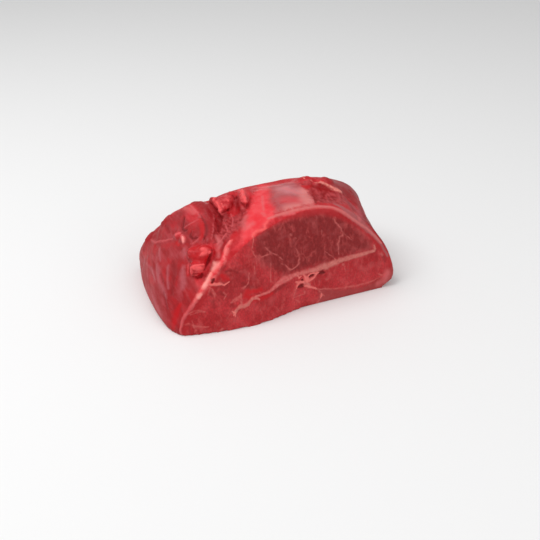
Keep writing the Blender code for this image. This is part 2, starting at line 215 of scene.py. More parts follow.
# Marks on the skin: (x, y, z, half width)
SEAM = (
    (
        (-39.5, -34.5, 58, 1), (-43.5, -35.9, 54.1, 1.6), (-46.1, -38.6, 51.4, 1.9),
        (-48.3, -41, 48.4, 1.9), (-51.4, -43.2, 45.5, 1.8), (-55, -43.7, 42.7, 2.4),
        (-57.9, -43.4, 39.3, 2.7), (-60.7, -43.6, 36.1, 2.4), (-63.1, -45, 33.4, 2.2),
        (-66, -46.6, 31.5, 1.7), (-68.3, -47.5, 29, 1.4), (-71.5, -48, 25.6, 1.2),
        (-74.3, -48.4, 22.2, 1.1), (-77.5, -48.7, 18.3, 1), (-80, -48.3, 15.6, 1),
        (-82.1, -48.6, 12.2, 1), (-83.9, -49, 8, 0.9), (-84.7, -49.3, 4.3, 0.8),
        (-84.3, -49.6, 1.4, 0.7),
    ),
)
SEAM_FAT = (
    ((-54.1, -37.8, 45.3, 1.1), (-53.9, -41.1, 44.6, 2.6), (-55.9, -41.2, 42.4, 2.1)),
    (
        (-58.1, -42, 39.4, 1.5), (-60, -42.9, 37.1, 1.7), (-62.8, -44.3, 33.8, 1.7),
        (-64.8, -45.5, 32.6, 1.3),
    ),
    ((-68.1, -47.7, 28.6, 1), (-69.7, -47.9, 27.1, 1.3)),
    ((-63.9, -1.4, 49.8, 0.7), (-64.8, -5.2, 49.4, 1), (-64.7, -6.1, 47.8, 0.6)),
)
BAND_EDGE = (
    (
        (-11.9, -34.4, 66.5, 0.7), (-14.8, -35.9, 65.1, 1), (-15.2, -38.4, 63.6, 1),
        (-18.8, -38, 62.8, 1), (-21.6, -37.4, 62.2, 1), (-23.6, -37.8, 61.2, 1),
        (-25.4, -39.3, 59.6, 0.7),
    ),
)
FAT_NUB = (
    ((-66.8, 6.1, 48.5, 1), (-64.7, 6.9, 48.6, 1.4), (-63, 6.2, 48.5, 1)),
    ((-63, 2.2, 48.6, 1.1), (-64.6, -4.1, 49.6, 1.4), (-64.7, -6.1, 47.4, 1)),
)
# Pale lines of tissue, partly painted highlight along the edges of the folds
PALE_LINES_AND_HIGHLIGHTS = (
    (
        (-48.8, 27.6, 59.2, 0.4), (-48, 24, 59.9, 0.6), (-47.5, 19.1, 59.6, 0.8),
        (-46.9, 14.4, 59.1, 0.9), (-46.9, 8.6, 59.3, 1), (-47.9, 3.6, 59.7, 0.5),
    ),
    ((-36.3, 11.4, 59.2, 0.4), (-36.6, 8.1, 58.3, 0.6), (-38.8, 0, 59.5, 0.7), (-42, -6.8, 60.1, 0.4)),
    ((-43.7, -10, 59.9, 0.4), (-46.9, -18, 58, 0.6), (-50.3, -24, 55.3, 0.5)),
    (
        (-76.1, 39.6, 31, 0.4), (-76.1, 34.3, 31.9, 0.6), (-75.9, 27.2, 33.6, 1),
        (-73.9, 23.1, 36.6, 0.9), (-71.9, 16.7, 39.5, 1), (-70.3, 14.2, 41.2, 0.8),
        (-68.8, 11.5, 42.7, 0.6), (-67.5, 8.3, 44, 0.5),
    ),
    (
        (-55, -15.7, 55.5, 0.4), (-57.7, -15.5, 52.8, 0.6), (-60.3, -15.2, 50.8, 0.8),
        (-62, -13.8, 49.8, 0.5),
    ),
    ((-49.3, 2.6, 59.3, 0.5), (-53.3, 3.2, 57.4, 0.9), (-56.2, 3.9, 56.1, 0.8), (-59.4, 6.1, 52.9, 0.5)),
    ((-69.1, -27.3, 47.7, 0.5), (-69.1, -27.3, 41.4, 0.8), (-71.1, -32.2, 37.3, 0.5)),
    ((-34.9, -7.1, 60.7, 0.4), (-36.1, -15.9, 59.5, 0.6), (-37.9, -24, 58.9, 0.5)),
    ((-27.1, -3.1, 62.1, 0.4), (-29.6, -13.1, 61.6, 0.6), (-33.6, -21.1, 60.6, 0.4)),
    ((-38.8, -24.5, 58.6, 0.4), (-43.7, -27.2, 55.4, 0.7), (-47.9, -28.1, 52.8, 0.5)),
)
TENDON = (
    (
        (41, 2.9, 71.6, 0.5), (44.2, -0.9, 71.7, 0.7), (47.6, -4, 71.5, 0.8), (50, -5.9, 71.1, 0.9),
        (52.2, -7.4, 69.6, 1.2), (54.4, -8.9, 68.2, 1.5), (56.9, -9.9, 66.9, 1.5),
        (59.5, -10.8, 65.2, 1),
    ),
    ((38.1, 10.5, 71.5, 0.5), (37.9, 7.4, 71.6, 0.5)),
)
STRIP = (
    (
        (-11, -32.5, 67.4, 0.8), (-3.5, -32.8, 69.1, 1.3), (5.3, -33.9, 70.5, 1.6),
        (16.2, -35.4, 71.3, 1.4), (29.8, -35.2, 70.2, 1.5), (38.3, -36, 68, 1.5),
        (42.9, -38.1, 65.7, 1.4), (48, -39.6, 62.1, 1.2), (52.6, -40.6, 58, 1),
        (58.2, -41.5, 53.2, 0.9), (63.9, -42.2, 48.7, 0.8), (69.7, -43.1, 42.5, 0.8),
        (75.6, -44.3, 35.1, 0.7),
    ),
)
# Grooves, sunk into the relief and painted dark: painted shade in them
SHADED_GROOVES = (
    (
        (-36.6, 14.6, 63.9, 0.7), (-36.3, 11, 63.4, 1.1), (-35.7, 5.5, 61.7, 1.9),
        (-37.3, -3.4, 62, 2.7), (-36.8, -3.9, 58.9, 2.6), (-39, -10.5, 58.4, 1.8),
        (-41.7, -17.3, 57.4, 1),
    ),
    ((-35, -5.7, 65.3, 0.8), (-32.1, -5.3, 65.7, 1.1), (-27.6, -0.6, 63.7, 0.8)),
    ((-20.9, 7.7, 71.1, 1.3), (-20.3, 4.6, 69.5, 1.4), (-19.4, 4.4, 65.4, 1), (-21.6, -1.4, 64.3, 0.6)),
    (
        (-21.4, -7.8, 71.4, 0.6), (-20, -10.9, 70.9, 0.9), (-19.6, -15.4, 71, 1.2),
        (-13.9, -6.4, 69, 1), (-10.8, -1, 69.2, 0.6),
    ),
    (
        (-53.5, -34.2, 53.9, 0.7), (-55.6, -35.4, 49.5, 1.1), (-56.5, -34.6, 46.2, 0.9),
        (-59, -36.2, 43.6, 0.8), (-61.8, -39.4, 42, 0.6),
    ),
    (
        (-69.2, -36.2, 36.6, 0.5), (-67, -38.1, 36.3, 0.7), (-64.2, -38.6, 37, 0.9),
        (-62.7, -39.6, 39.6, 0.7),
    ),
)
# Hollows of dark red meat, sunk into the relief: partly the meat's own colour, partly painted shade
DEEP_RED = (
    (
        (39, -1.2, 70.8, 1.3), (41.7, -4.2, 70.3, 1.9), (44.8, -6.2, 69.7, 2.4), (48, -7.4, 69.1, 2.6),
        (50.9, -9.1, 68.1, 1.6),
    ),
    ((36.7, -7.6, 69.4, 1), (33.5, -17.9, 69.5, 1.3), (28.3, -28.8, 71.2, 0.9)),
    ((45.1, -10.6, 68.2, 1), (39, -19.3, 68.2, 0.8)),
)
# Creases, sunk a little and painted dark: painted shade in them
SHADED_CREASES = (
    (
        (-46.2, 10.9, 59.4, 0.4), (-47.8, -0.9, 60.6, 0.8), (-48.9, -9.7, 60.9, 1),
        (-50.4, -15.3, 59.1, 1.2), (-52.5, -18.9, 57.3, 1.2), (-54.9, -19.5, 54.9, 0.7),
    ),
    (
        (-55.9, 16.7, 55.8, 0.6), (-57.7, 13.9, 54.3, 1), (-59.3, 10.6, 52.9, 1),
        (-60.8, 7.8, 51.2, 0.9), (-60.5, 3, 51.8, 0.8), (-59.2, 1, 53.3, 0.5),
    ),
    ((-84.8, 45.1, 4.9, 1.1), (-88.9, 22.6, 13.3, 0.6)),
    (
        (-75.6, -12.3, 37.6, 1.6), (-77.9, -20.8, 34.4, 2.1), (-81.1, -27.1, 28.9, 1.9),
        (-83.7, -30.9, 23.5, 1.3),
    ),
    ((-84, -10, 27.7, 1.1), (-85.1, -16.5, 25.8, 1.1)),
    ((-87, -23.7, 21.2, 1.1), (-87.8, -28.9, 17.7, 1.3), (-88.3, -33, 14.5, 1)),
    (
        (-58.6, -4.8, 54.3, 0.7), (-60.2, -6.9, 52.4, 0.9), (-59.6, -11.5, 52.1, 0.8),
        (-57.3, -13.5, 53.7, 0.7),
    ),
    ((-66.3, 30.5, 44.3, 1.4), (-66.9, 21.5, 43.6, 1.6)),
)
SIDE_CREASES = (
    ((60.2, -11.1, 64.8, 0.7), (62.6, -14.7, 61.3, 1.2), (63.7, -20.8, 58.4, 1.3), (63.2, -27.9, 56.7, 1)),
    ((70, -2.8, 61.9, 0.6), (72.2, -8.8, 58.2, 1), (72.5, -16.3, 53.8, 0.8)),
    ((27.5, -30.3, 71.2, 0.6), (30.6, -30.6, 70.7, 0.5)),
    ((16.4, -30.1, 71.9, 0.6), (19.7, -31.6, 71.7, 0.6)),
    ((4.5, -20.5, 71.5, 0.6), (9.1, -20.8, 71.9, 0.6)),
)
FOLD_BAND = (
    (
        (-44.6, 27.1, 60.5, 2), (-41.8, 21.5, 61.5, 2.9), (-40.3, 15, 60.8, 3.2), (-40.4, 7.7, 60, 3.4),
        (-43.8, -5.4, 61, 3.2), (-46.8, -14.1, 59.3, 3.2), (-50.6, -20.9, 57, 2.9),
        (-52.8, -23.7, 54.9, 1.9),
    ),
)
BUMPS = (
    ((46.5, -1.1, 73, 2.4), (51.7, 2.2, 72, 2.9), (54.8, 0, 70.6, 2.6)),
    ((35.6, 12.1, 70.1, 2.4), (38.5, 7.9, 71.7, 2.7), (40.9, 4.2, 71.9, 2.1)),
    ((-66.1, 38.7, 42.6, 1.9), (-62.1, 35.1, 48.4, 1.9)),
    ((-73.6, 44.8, 32.3, 1.8), (-77.8, 45, 27.9, 1.6)),
    ((71.8, -12.7, 56.6, 4.5), (69, -20.7, 55.6, 5), (65.7, -29.6, 55.3, 4.5)),
    ((80.7, -49.6, 7.4, 3), (78, -50, 4.8, 3)),
)
DIPS = (
    ((43, 1.6, 73.2, 1.6), (44, 0.4, 73.2, 1.6)),
    ((-70.4, 41, 36.8, 1.3), (-69, 40.6, 38.4, 1.3)),
    ((-84.4, 46.8, 8.3, 1.6), (-85, 45, 9.5, 1.6)),
    ((14.8, 36.5, 60.2, 4), (24.9, 34.2, 61, 5), (33.3, 28.3, 63.6, 4)),
)
RED_MEAT = (
    ((-34.4, -28.5, 60.3, 1.6), (-36.5, -32.6, 59.6, 2.6), (-38.9, -34.9, 58.1, 1.6)),
    ((-49.1, 2.1, 59.5, 1.6), (-51.4, -9.4, 59.7, 1.9), (-53.4, -15.5, 57.4, 1.9), (-55.5, -17, 54.6, 1.6)),
    (
        (-65.2, -25.2, 52.9, 2.4), (-60.4, -26, 53, 2.8), (-58.5, -33, 55.2, 2.8),
        (-59, -35.7, 49.7, 3.2), (-63.8, -32.5, 46.8, 3.2), (-67.6, -29.2, 48.4, 1.9),
    ),
    ((-56.1, -30.7, 56, 1.6), (-53.9, -32.4, 54.3, 1.3)),
    ((-63.6, -31.6, 51.8, 0.9), (-64.7, -32, 49.1, 1.1)),
    ((-67.5, 1.4, 44.3, 1.3), (-67.4, -2.6, 44.6, 1.1)),
    ((-69.3, -27.9, 41, 1.2), (-71.3, -32.8, 36.8, 1.2)),
    ((-80.6, -41.3, 20.5, 1.1), (-83.5, -41.6, 15.8, 1.9), (-86.1, -43, 9.9, 1.9), (-88, -43.1, 3.9, 1.3)),
    ((32.5, 0.8, 70.7, 1.6), (34.7, -1.5, 70.5, 2.2), (38.3, -0.9, 70.8, 1.4)),
    ((-18.2, -10.3, 71.9, 1.1), (-17.6, -6.1, 72.7, 0.8)),
)
# Soft pink patches: pink skin, partly painted sheen on the top of the lump and on the lower right corner
SOFT_PINK_AND_SHEEN = (
    ((-51.9, 26.6, 58, 1.8), (-49.8, 21.3, 59.1, 2.4), (-49.1, 14.9, 58.6, 1.9)),
    ((-22.8, -20.9, 66.9, 1.9), (-26.5, -24.3, 64.5, 2.4), (-27.8, -30.8, 63.1, 2.4)),
    ((6.6, 33.1, 60.6, 1.3), (12, 30, 61.7, 1.6), (18.6, 25.9, 63.4, 1.9), (18.2, 12.3, 69.1, 1.9)),
    ((17.9, 3, 70.9, 1.9), (20.6, -5, 71.3, 1.9), (23.5, -10.8, 70.8, 1.8)),
    ((7.1, -36.6, 70.2, 1), (0.1, -35, 69.3, 1.1)),
    ((79.8, -49, 11.7, 2.4), (77.1, -49.9, 5.8, 2.4), (71.7, -50.4, 3.9, 1.9)),
    (
        (-46, -21.7, 56.4, 1.3), (-45.5, -27.7, 53.7, 1.6), (-48.9, -30.5, 50.3, 1.6),
        (-49.9, -36.8, 48.2, 1.4),
    ),
    ((-2.7, -4.2, 71.4, 0.9), (-7.8, -16.6, 70.6, 0.9), (-9.9, -22.4, 69.7, 0.8)),
    ((-11.8, -25.7, 68.8, 1.4), (-11.4, -28.3, 68.3, 1.3)),
    ((-25.8, -31.5, 63.8, 1.8), (-21.7, -30.9, 65.4, 1.8)),
    ((0.6, 11.5, 69, 1.6), (4.9, 6.6, 70.7, 1.9)),
    ((72.9, -9.1, 57.4, 0.9), (72.1, -18.6, 53.3, 1), (67.3, -31.4, 53.3, 1)),
    ((58.6, -32.9, 58.2, 1.6), (58.8, -40, 56.5, 1.6)),
)
# Pale skin along the front right edge, partly painted highlight on that edge
EDGE_SKIN_AND_HIGHLIGHT = (
    (
        (42.1, -30.5, 67.7, 1.2), (46.3, -33.5, 65.8, 2), (49.2, -37.3, 63.6, 2.6),
        (53.9, -39.6, 59.7, 2.8), (59.2, -41, 54.4, 2.6), (63.9, -42.2, 48.7, 2),
        (69.7, -43.2, 42.1, 1.2), (75.5, -44.5, 34.4, 0.9), (81.2, -46.5, 23.9, 0.9),
    ),
)
LILAC = (
    (
        (-82.8, 2.9, 28.9, 1.4), (-84.3, -3.9, 27, 2.2), (-85.7, -10.3, 25, 2.2),
        (-86.4, -16.6, 23.7, 2), (-86.6, -23.7, 21.9, 2), (-86.7, -28.1, 20.2, 1.1),
    ),
    ((-72.1, -25, 39.3, 1.5), (-74.4, -29, 35.6, 2.2), (-75.8, -33.5, 31.9, 2.5), (-77.2, -36, 28.8, 1.4)),
    ((-76.3, 15.1, 35.4, 0.8), (-78.8, 8.5, 33.5, 1.3), (-80.4, 2.5, 31.9, 0.8)),
    ((-85.6, 21.2, 21.8, 0.8), (-85.9, 9.8, 23.5, 1.3), (-86.5, -0.6, 23.3, 1.1), (-87.5, -6.9, 22, 0.8)),
    ((-66.6, -12.5, 45.7, 2), (-67.8, -17.9, 45.1, 2.5)),
    (
        (-91.5, -10.4, 12.3, 1.1), (-91.9, -17.2, 10.4, 2), (-91.8, -23.6, 9.1, 2.2),
        (-91.5, -28.9, 7.1, 1.8),
    ),
    ((-78.7, -11, 34.4, 1), (-81.6, -17.7, 30.4, 1.4), (-84.1, -25.2, 25.4, 1.1)),
    ((61.5, -20, 60.1, 1.8), (62.9, -26.8, 57.1, 2.4), (62.2, -35.6, 55.4, 2.4)),
)
CRAGS = (
    ((-33.7, 11.2, 68.4, 2.4), (-32.9, 3.3, 67.7, 3.4), (-34.4, -2.3, 66.4, 2.4)),
    ((-28.4, 14.8, 68.3, 2.4), (-26, 6.8, 68.8, 3.6), (-27.2, 0.2, 67.1, 2.4)),
    ((-15, 4.9, 73.1, 2.4), (-17.4, -4.7, 72.9, 2.9), (-18.5, -10.9, 71.8, 2.1)),
    ((-67.1, -28.3, 51.7, 2.9), (-62.4, -31.6, 52.3, 4.4), (-58.1, -33.6, 51.6, 4.4)),
    ((-70, -37.1, 42.8, 2.9), (-64.3, -39.6, 44.3, 3.4)),
)
# Pale coral tips of the crags and knobs, partly painted highlight along the ridges of the flaps
CRAG_TIPS_AND_HIGHLIGHTS = (
    ((-34.7, 11.2, 68.2, 1), (-32.4, 13.5, 68, 1)),
    ((-34.3, 7.5, 68.1, 0.6), (-34.2, 3.4, 67.5, 0.8), (-33.8, 1.7, 65.4, 1), (-35.5, -4.6, 65.7, 1.4)),
    ((-31.7, 3.4, 68.2, 0.6), (-31, 1.5, 65.7, 0.7)),
    ((-26.8, 6.9, 68.9, 0.5), (-25.8, 3.5, 68.2, 0.6)),
    (
        (-3.5, 38, 58.8, 1.1), (-14.2, 5.8, 73, 1.6), (-16.1, -0.6, 73.3, 1.3), (-17.4, -6.2, 72.7, 1),
        (-18, -9.8, 72, 1),
    ),
    (
        (-60.3, -31.9, 54.4, 1.4), (-58.1, -33.8, 54, 1.6), (-58.1, -33.6, 51.6, 1.3),
        (-61.5, -34.9, 52.2, 1.2),
    ),
    ((-56.1, -35.1, 52.3, 1), (-56, -35.2, 51.8, 1)),
    ((-62.3, -35, 52, 1), (-63.4, -35, 50.8, 0.6)),
    (
        (-70.3, -36.8, 44.3, 0.7), (-67.9, -37.7, 45.7, 1), (-64.9, -38.4, 46, 0.8),
        (-61.6, -38.2, 45.5, 0.6),
    ),
    ((-69.3, -37.6, 44.4, 1.2), (-66.8, -38.6, 44, 1.6), (-64.3, -39.7, 44, 1.2)),
    (
        (-70.3, -36.7, 44.2, 0.7), (-70.3, -36.3, 40.8, 0.8), (-68.9, -35.1, 37.5, 0.9),
        (-66.3, -38.5, 38.9, 0.5),
    ),
)
SWIRL = (-58.1, -8.7, 54.4)
SWIRL_REACH = 6.5
RING_STEP = 1.9

# Creases are shallow, and their painted shade faint, below the first height, and both are full above the
# second
CREASE_Z = (42.0, 50.0)

# Size of the torn strings of meat along each axis
TORN_STRING = (1.5, 3.6, 2.2)

# How far marks stand out of the skin, in millimetres
STANDS_OUT = {
    "gristle": 0.5,
    "knots": 0.55,
    "veins": 0.12,
    "fat": 0.4,
    "nub": 0.5,
    "tips": 0.8,
    "lilac": 0.3,
    "line": 0.4,
    "band edge": 0.4,
    "strip": 0.3,
    "side line": -0.7,
    "deep": -1.3,
    "deep red": -0.9,
    "holes": -0.9,
}

# A mask's value where a mark starts to stand out, and where it is full
MARK_EDGE = (0.3, 0.75)
BUMP_HEIGHT = 1.5
DIP_DEPTH = 1.0

# No relief below the first height, so that the underside stays flat, and all of it above the second
FOOT_Z = (0.5, 7.0)

# Patches of the top: (x, y)
CORAL_BAND = (
    (-40, -40), (-34.5, -37.5), (-28.5, -31), (-24.5, -24.5), (-20.5, -19), (-16, -13), (-10, -4),
    (-3, 9), (8, 28), (14, 44), (22, 36), (12, 14), (4, -4), (-1, -18), (-3, -28), (-6, -34),
    (-12, -35.5), (-18, -38), (-23, -39), (-28, -41), (-33, -40.5), (-38, -40),
)
SILVER_PATCH = (
    (14, 20), (24, 20), (30, 12), (34, 2), (35, -8), (31, -20), (27, -29), (22, -32.5), (12, -32.5),
    (3, -32), (-3, -29), (-1, -17), (5, -2),
)
MOTTLED_HOLLOW = (
    (-38, -5), (-31, -5), (-23, -11), (-21, -16), (-27, -24), (-34, -30), (-39, -31), (-45, -30),
    (-50, -27), (-48, -20), (-42, -12),
)
TORN_PATCH = (
    (32, 6), (37, 6), (43, -1), (50, -7), (57, -11), (61, -13), (61, -20), (54, -28), (42, -30.5),
    (34, -29.5), (28, -30), (31, -18), (33, -7),
)
SILVER_GREY = (((3, -14), (3, -21), (5, -26)), ((7, -11), (12, -12)),)
# White places of the silver skin: pale membrane, partly painted sheen
SILVER_WHITE_AND_SHEEN = (((18, 3), (19, -5), (25, -7)),)
SILVER_PINK = (((10, -18), (13, -20), (16, -22)),)
# Light places of the silver skin: pale membrane, partly painted sheen
SILVER_LIGHT_AND_SHEEN = (((30, -6), (26, -18), (23, -29)), ((14, -32), (7, -30)),)
WIDE_SPOT = 6.0
SMALL_SPOT = 5.0


def srgb(red, green, blue):
    """A colour given as 0 to 255 on a screen, for a shader."""
    parts = [part / 255.0 for part in (red, green, blue)]
    linear = [p / 12.92 if p <= 0.04045 else ((p + 0.055) / 1.055) ** 2.4 for p in parts]
    return (*linear, 1.0)


# Fields over the skin: arrays with one value for each vertex


def ramp(value, start, end):
    """0 before start, 1 past end and smooth between, either way round."""
    u = np.clip((value - start) / (end - start), 0.0, 1.0)
    return u * u * (3.0 - 2.0 * u)


def wander(places, size, seed):
    """Smooth noise between about -1 and 1, with features of this size in millimetres."""
    shift = Vector((seed * 17.3, seed * 5.7, seed * 11.1))
    return np.array([noise.noise(Vector(place) / size + shift) for place in places])


def away_from(places, line):
    """Distance of each place to a line in millimetres, and the line's half width at the nearest point."""
    size = places.shape[1]
    best = np.full(len(places), 1e6)
    width = np.ones(len(places))
    for start, end in zip(line, line[1:]):
        a, b = np.array(start[:size], float), np.array(end[:size], float)
        run = b - a
        u = np.clip(((places - a) @ run) / (run @ run), 0.0, 1.0)
        away = np.linalg.norm(places - a - u[:, None] * run, axis=1)
        if len(start) > size:
            half = start[size] + u * (end[size] - start[size])
            nearer = away / half < best / width
            width = np.where(nearer, half, width)
        else:
            nearer = away < best
        best = np.where(nearer, away, best)
    return best, width


def near(places, lines, half=None):
    """1 on a line, one half at its half width and 0 at twice that."""
    closest = np.zeros(len(places))
    for line in lines:
        away, width = away_from(places, line)
        closest = np.maximum(closest, 1.0 - away / (2.0 * (half if half else width)))
    return closest


def inside(places, outline):
    """Above one half inside an outline of corners and below it outside: 0 and 1 at PATCH_EDGE from it."""
    corners = np.array(outline, float)
    within = np.zeros(len(places), bool)
    away = np.full(len(places), 1e6)
    for a, b in zip(corners, np.roll(corners, -1, axis=0)):
        run = b - a
        u = np.clip(((places - a) @ run) / (run @ run), 0.0, 1.0)
        away = np.minimum(away, np.linalg.norm(places - a - u[:, None] * run, axis=1))
        crosses = (a[1] > places[:, 1]) != (b[1] > places[:, 1])
        with np.errstate(divide="ignore", invalid="ignore"):
            at = a[0] + (places[:, 1] - a[1]) / (b[1] - a[1]) * run[0]
        within ^= crosses & (places[:, 0] < at)
    signed = np.where(within, away, -away)
    return np.clip(0.5 + signed / (2.0 * PATCH_EDGE), 0.0, 1.0)


def front_cut_y(x, z):
    """Where the front cut lies: it leans back, and its foot bows forward."""
    along = np.clip((x - BOW_START_X) / BOW_LENGTH, 0.0, 1.0)
    wave = np.sin(math.pi * along)
    bow = BOW_DEPTH * np.where(along < 0.5, wave, wave**2)
    return FRONT_FOOT_Y + z * FRONT_LEAN - bow * np.clip(1.0 - z / CROWN_Z, 0.0, 1.0) ** 1.3


def behind_cuts(places):
    """How far each place lies behind the front cut, and before the back cut."""
    x, y, z = places.T
    return y - front_cut_y(x, z), BACK_FOOT_Y - z * BACK_LEAN - y


def on_section(places, before_back):
    """Each place as (x, z) on the cut. The back cut is lower, so its pattern is drawn lower too."""
    x, y, z = places.T
    stretch = np.where(before_back < BACK_CUT_EDGE, CROWN_Z / BACK_CROWN_Z, 1.0)
    return np.stack([x, z * stretch], axis=1)


def cut_fields(places):
    """Masks of the two cut faces."""
    behind, before_back = behind_cuts(places)
    on_front = np.clip(1.0 - behind / CUT_EDGE, 0.0, 1.0)
    on_back = np.clip(1.0 - before_back / BACK_CUT_EDGE, 0.0, 1.0)
    cut = np.maximum(on_front, on_back)
    sway, sway_fine = wander(places, 8.0, 1), wander(places, 2.4, 2)
    section = on_section(places, before_back)
    bent = section + np.stack([sway * 0.35 + sway_fine * 0.4, sway_fine * 0.32 - sway * 0.25], axis=1)
    uneven = 0.14 * wander(places, 2.0, 13)
    on_cut = ramp(cut, 0.3, 0.5)
    return {
        "cut": cut,
        "gristle": on_cut * (near(bent, GRISTLE) + uneven),
        "knots": on_cut * (near(bent, FAT_KNOTS) + uneven),
        "veins": on_cut * (near(bent, VEINS) + 2.0 * uneven),
        "holes": on_cut * np.maximum(near(bent, SHADED_HOLES), near(bent, SHADED_LOOP_HOLE)),
        "crimson": on_cut * near(bent, RED_STREAKS),
        "shade": on_cut * near(bent, SHADES),
        "dark": on_cut * inside(section, DARK_MUSCLE),
        "brown": on_cut * inside(section, LEFT_MUSCLE),
        "lower": on_cut * inside(bent, LOWER_MEMBRANE),
        "rim": on_cut * near(section, (RIM,), RIM_HALF),
    }


def arcs(places):
    """Faint rings of fibre: along the fold beside the lump, and round the swirl in it."""
    to_fold = away_from(places, SHADED_CREASES[0])[0]
    to_swirl = np.linalg.norm(places - np.array(SWIRL, float), axis=1)
    band = ramp(near(places, FOLD_BAND), 0.2, 0.6)
    swirl = ramp(to_swirl / SWIRL_REACH, 1.0, 0.4)
    rings = 2.0 * math.pi / RING_STEP
    round_swirl = np.sin(to_swirl * rings * 0.8) * swirl * (1.0 - band)
    return 0.5 + 0.5 * (np.sin(to_fold * rings) * band + round_swirl)


def skin_fields(places, normals, on_skin):
    """Masks of the skin side, the flanks and what is torn."""
    x, y, z = places.T
    sway, sway_fine = wander(places, 7.0, 3), wander(places, 2.6, 4)
    bent = places + np.stack([sway_fine * 0.5, sway * 0.6, sway_fine * -0.4], axis=1)
    top = places[:, :2] + np.stack([sway * 1.4 + sway_fine * 0.8, sway_fine * 0.9 - sway], axis=1)
    high = ramp(z, *TOP_Z) * on_skin
    torn = np.maximum(inside(top, TORN_PATCH), inside(top, MOTTLED_HOLLOW))
    web = 0.5 + 0.9 * wander(bent / np.array(TORN_STRING), 1.0, 5)
    return {
        "seam": near(bent, SEAM),
        "fat": near(bent, SEAM_FAT),
        "nub": near(bent, FAT_NUB),
        "line": on_skin * near(bent, PALE_LINES_AND_HIGHLIGHTS),
        "tendon": near(bent, TENDON),
        "strip": near(bent, STRIP),
        "coral": high * inside(top, CORAL_BAND),
        "silver": high * inside(top, SILVER_PATCH),
        "grey": high * near(top, SILVER_GREY, WIDE_SPOT),
        "white": high * near(top, SILVER_WHITE_AND_SHEEN, SMALL_SPOT),
        "rose": high * near(top, SILVER_PINK, WIDE_SPOT),
        "light": high * near(top, SILVER_LIGHT_AND_SHEEN, SMALL_SPOT),
        "torn": high * torn,
        "web": np.clip(web, 0.0, 1.0),
        "crag": on_skin * near(bent, CRAGS),
        "tips": on_skin * near(bent, CRAG_TIPS_AND_HIGHLIGHTS),
        "deep": on_skin * near(bent, SHADED_GROOVES),
        "fold": on_skin * ramp(near(bent, FOLD_BAND), 0.15, 0.6),
        "dark line": on_skin * near(bent, SHADED_CREASES),
        "side line": on_skin * near(bent, SIDE_CREASES),
        "deep red": on_skin * near(bent, DEEP_RED),
        "band edge": near(bent, BAND_EDGE),
        "arcs": arcs(bent),
        "red": near(bent, RED_MEAT),
        "pink": near(bent, SOFT_PINK_AND_SHEEN),
        "edge skin": near(bent, EDGE_SKIN_AND_HIGHLIGHT),
        "lilac": on_skin * near(bent, LILAC),
        "left": on_skin * ramp(-normals[:, 0], 0.25, 0.7),
        "right": on_skin * ramp(x + RIGHT_SLANT * y, *RIGHT_X),
    }


def fields(places, normals):
    """Every mask that the shader or the relief uses, by name."""
    masks = cut_fields(places)
    masks.update(skin_fields(places, normals, 1.0 - ramp(masks["cut"], 0.62, 0.9)))
    return masks


def uneven_relief(places, masks, shown):
    """What is lumpy: the cut, the seam, the tendon, torn meat, crags and the left flank."""
    x, y, z = places.T
    on_cut = ramp(masks["cut"], 0.5, 0.8)
    torn = ramp(masks["torn"], 0.5, 0.62)
    crag = ramp(masks["crag"], 0.4, 0.6)
    down_flank = (y * FLANK_COS + z * FLANK_SIN) / 7.0
    flank = np.stack([x, down_flank, z * FLANK_COS - y * FLANK_SIN], axis=1)
    height = 0.3 * wander(places, 13.0, 6)
    height += on_cut * 0.2 * wander(places, 3.0, 7)
    height += shown["seam"] * (0.7 + 0.3 * wander(places, 3.6, 8))
    height += torn * (masks["web"] * 0.5 - 0.4 + 0.35 * wander(places, 3.1, 9))
    height += crag * (0.5 * wander(places, 4.4, 10) + 0.35 * wander(places, 1.8, 11))
    height += masks["left"] * 0.35 * wander(flank, 3.0, 12)
    return height + shown["tendon"] * (0.4 + 0.4 * wander(places, 2.2, 14))


def relief(places, masks):
    """How far each place stands out, in millimetres."""
    z = places[:, 2]
    shown = {name: ramp(masks[name], *MARK_EDGE) for name in masks}
    height = uneven_relief(places, masks, shown)
    height += BUMP_HEIGHT * ramp(near(places, BUMPS), 0.0, 0.8)
    height -= DIP_DEPTH * ramp(near(places, DIPS), 0.0, 0.8)
    for name, amount in STANDS_OUT.items():
        height += shown[name] * amount
    height += masks["fold"] * (0.6 + 0.25 * masks["arcs"])
    height -= shown["dark line"] * (0.3 + 0.5 * ramp(z, *CREASE_Z))
    return height * ramp(z, *FOOT_Z)


# Mesh


def merged_copy(node, name):
    """The node's surface with its loose triangles joined, as a new object."""
    mesh = bmesh.new()
    mesh.from_mesh(node.data)
    bmesh.ops.transform(mesh, matrix=node.matrix_world, verts=mesh.verts)
    bmesh.ops.remove_doubles(mesh, verts=mesh.verts, dist=0.002 * MM)
    data = bpy.data.meshes.new(name)
    mesh.to_mesh(data)
    mesh.free()
    piece = bpy.data.objects.new(name, data)
    bpy.context.scene.collection.objects.link(piece)
    return piece


def even_skin(piece):
    """Small even faces all over, with the facets of the solid smoothed away."""
    remesh = piece.modifiers.new("even faces", "REMESH")
    remesh.mode = "VOXEL"
    remesh.voxel_size = VOXEL
    relax = piece.modifiers.new("relax", "SMOOTH")
    relax.factor = 0.5
    relax.iterations = SMOOTH_STEPS
    graph = bpy.context.evaluated_depsgraph_get()
    data = bpy.data.meshes.new_from_object(piece.evaluated_get(graph))
    piece.modifiers.clear()
    piece.data = data


def read_mesh(data):
    """Places in millimetres and normals."""
    count = len(data.vertices)
    places, normals = np.empty(count * 3), np.empty(count * 3)
    data.vertices.foreach_get("co", places)
    data.vertices.foreach_get("normal", normals)
    return places.reshape(-1, 3) / MM, normals.reshape(-1, 3)


def halve_faces(piece, wanted):
    """Halves the faces whose corners are all wanted, given as one truth value for each vertex."""
    mesh = bmesh.new()
    mesh.from_mesh(piece.data)
    edges = [edge for edge in mesh.edges if all(wanted[vert.index] for vert in edge.verts)]
    bmesh.ops.subdivide_edges(mesh, edges=edges, cuts=1, use_grid_fill=True)
    mesh.to_mesh(piece.data)
    mesh.free()


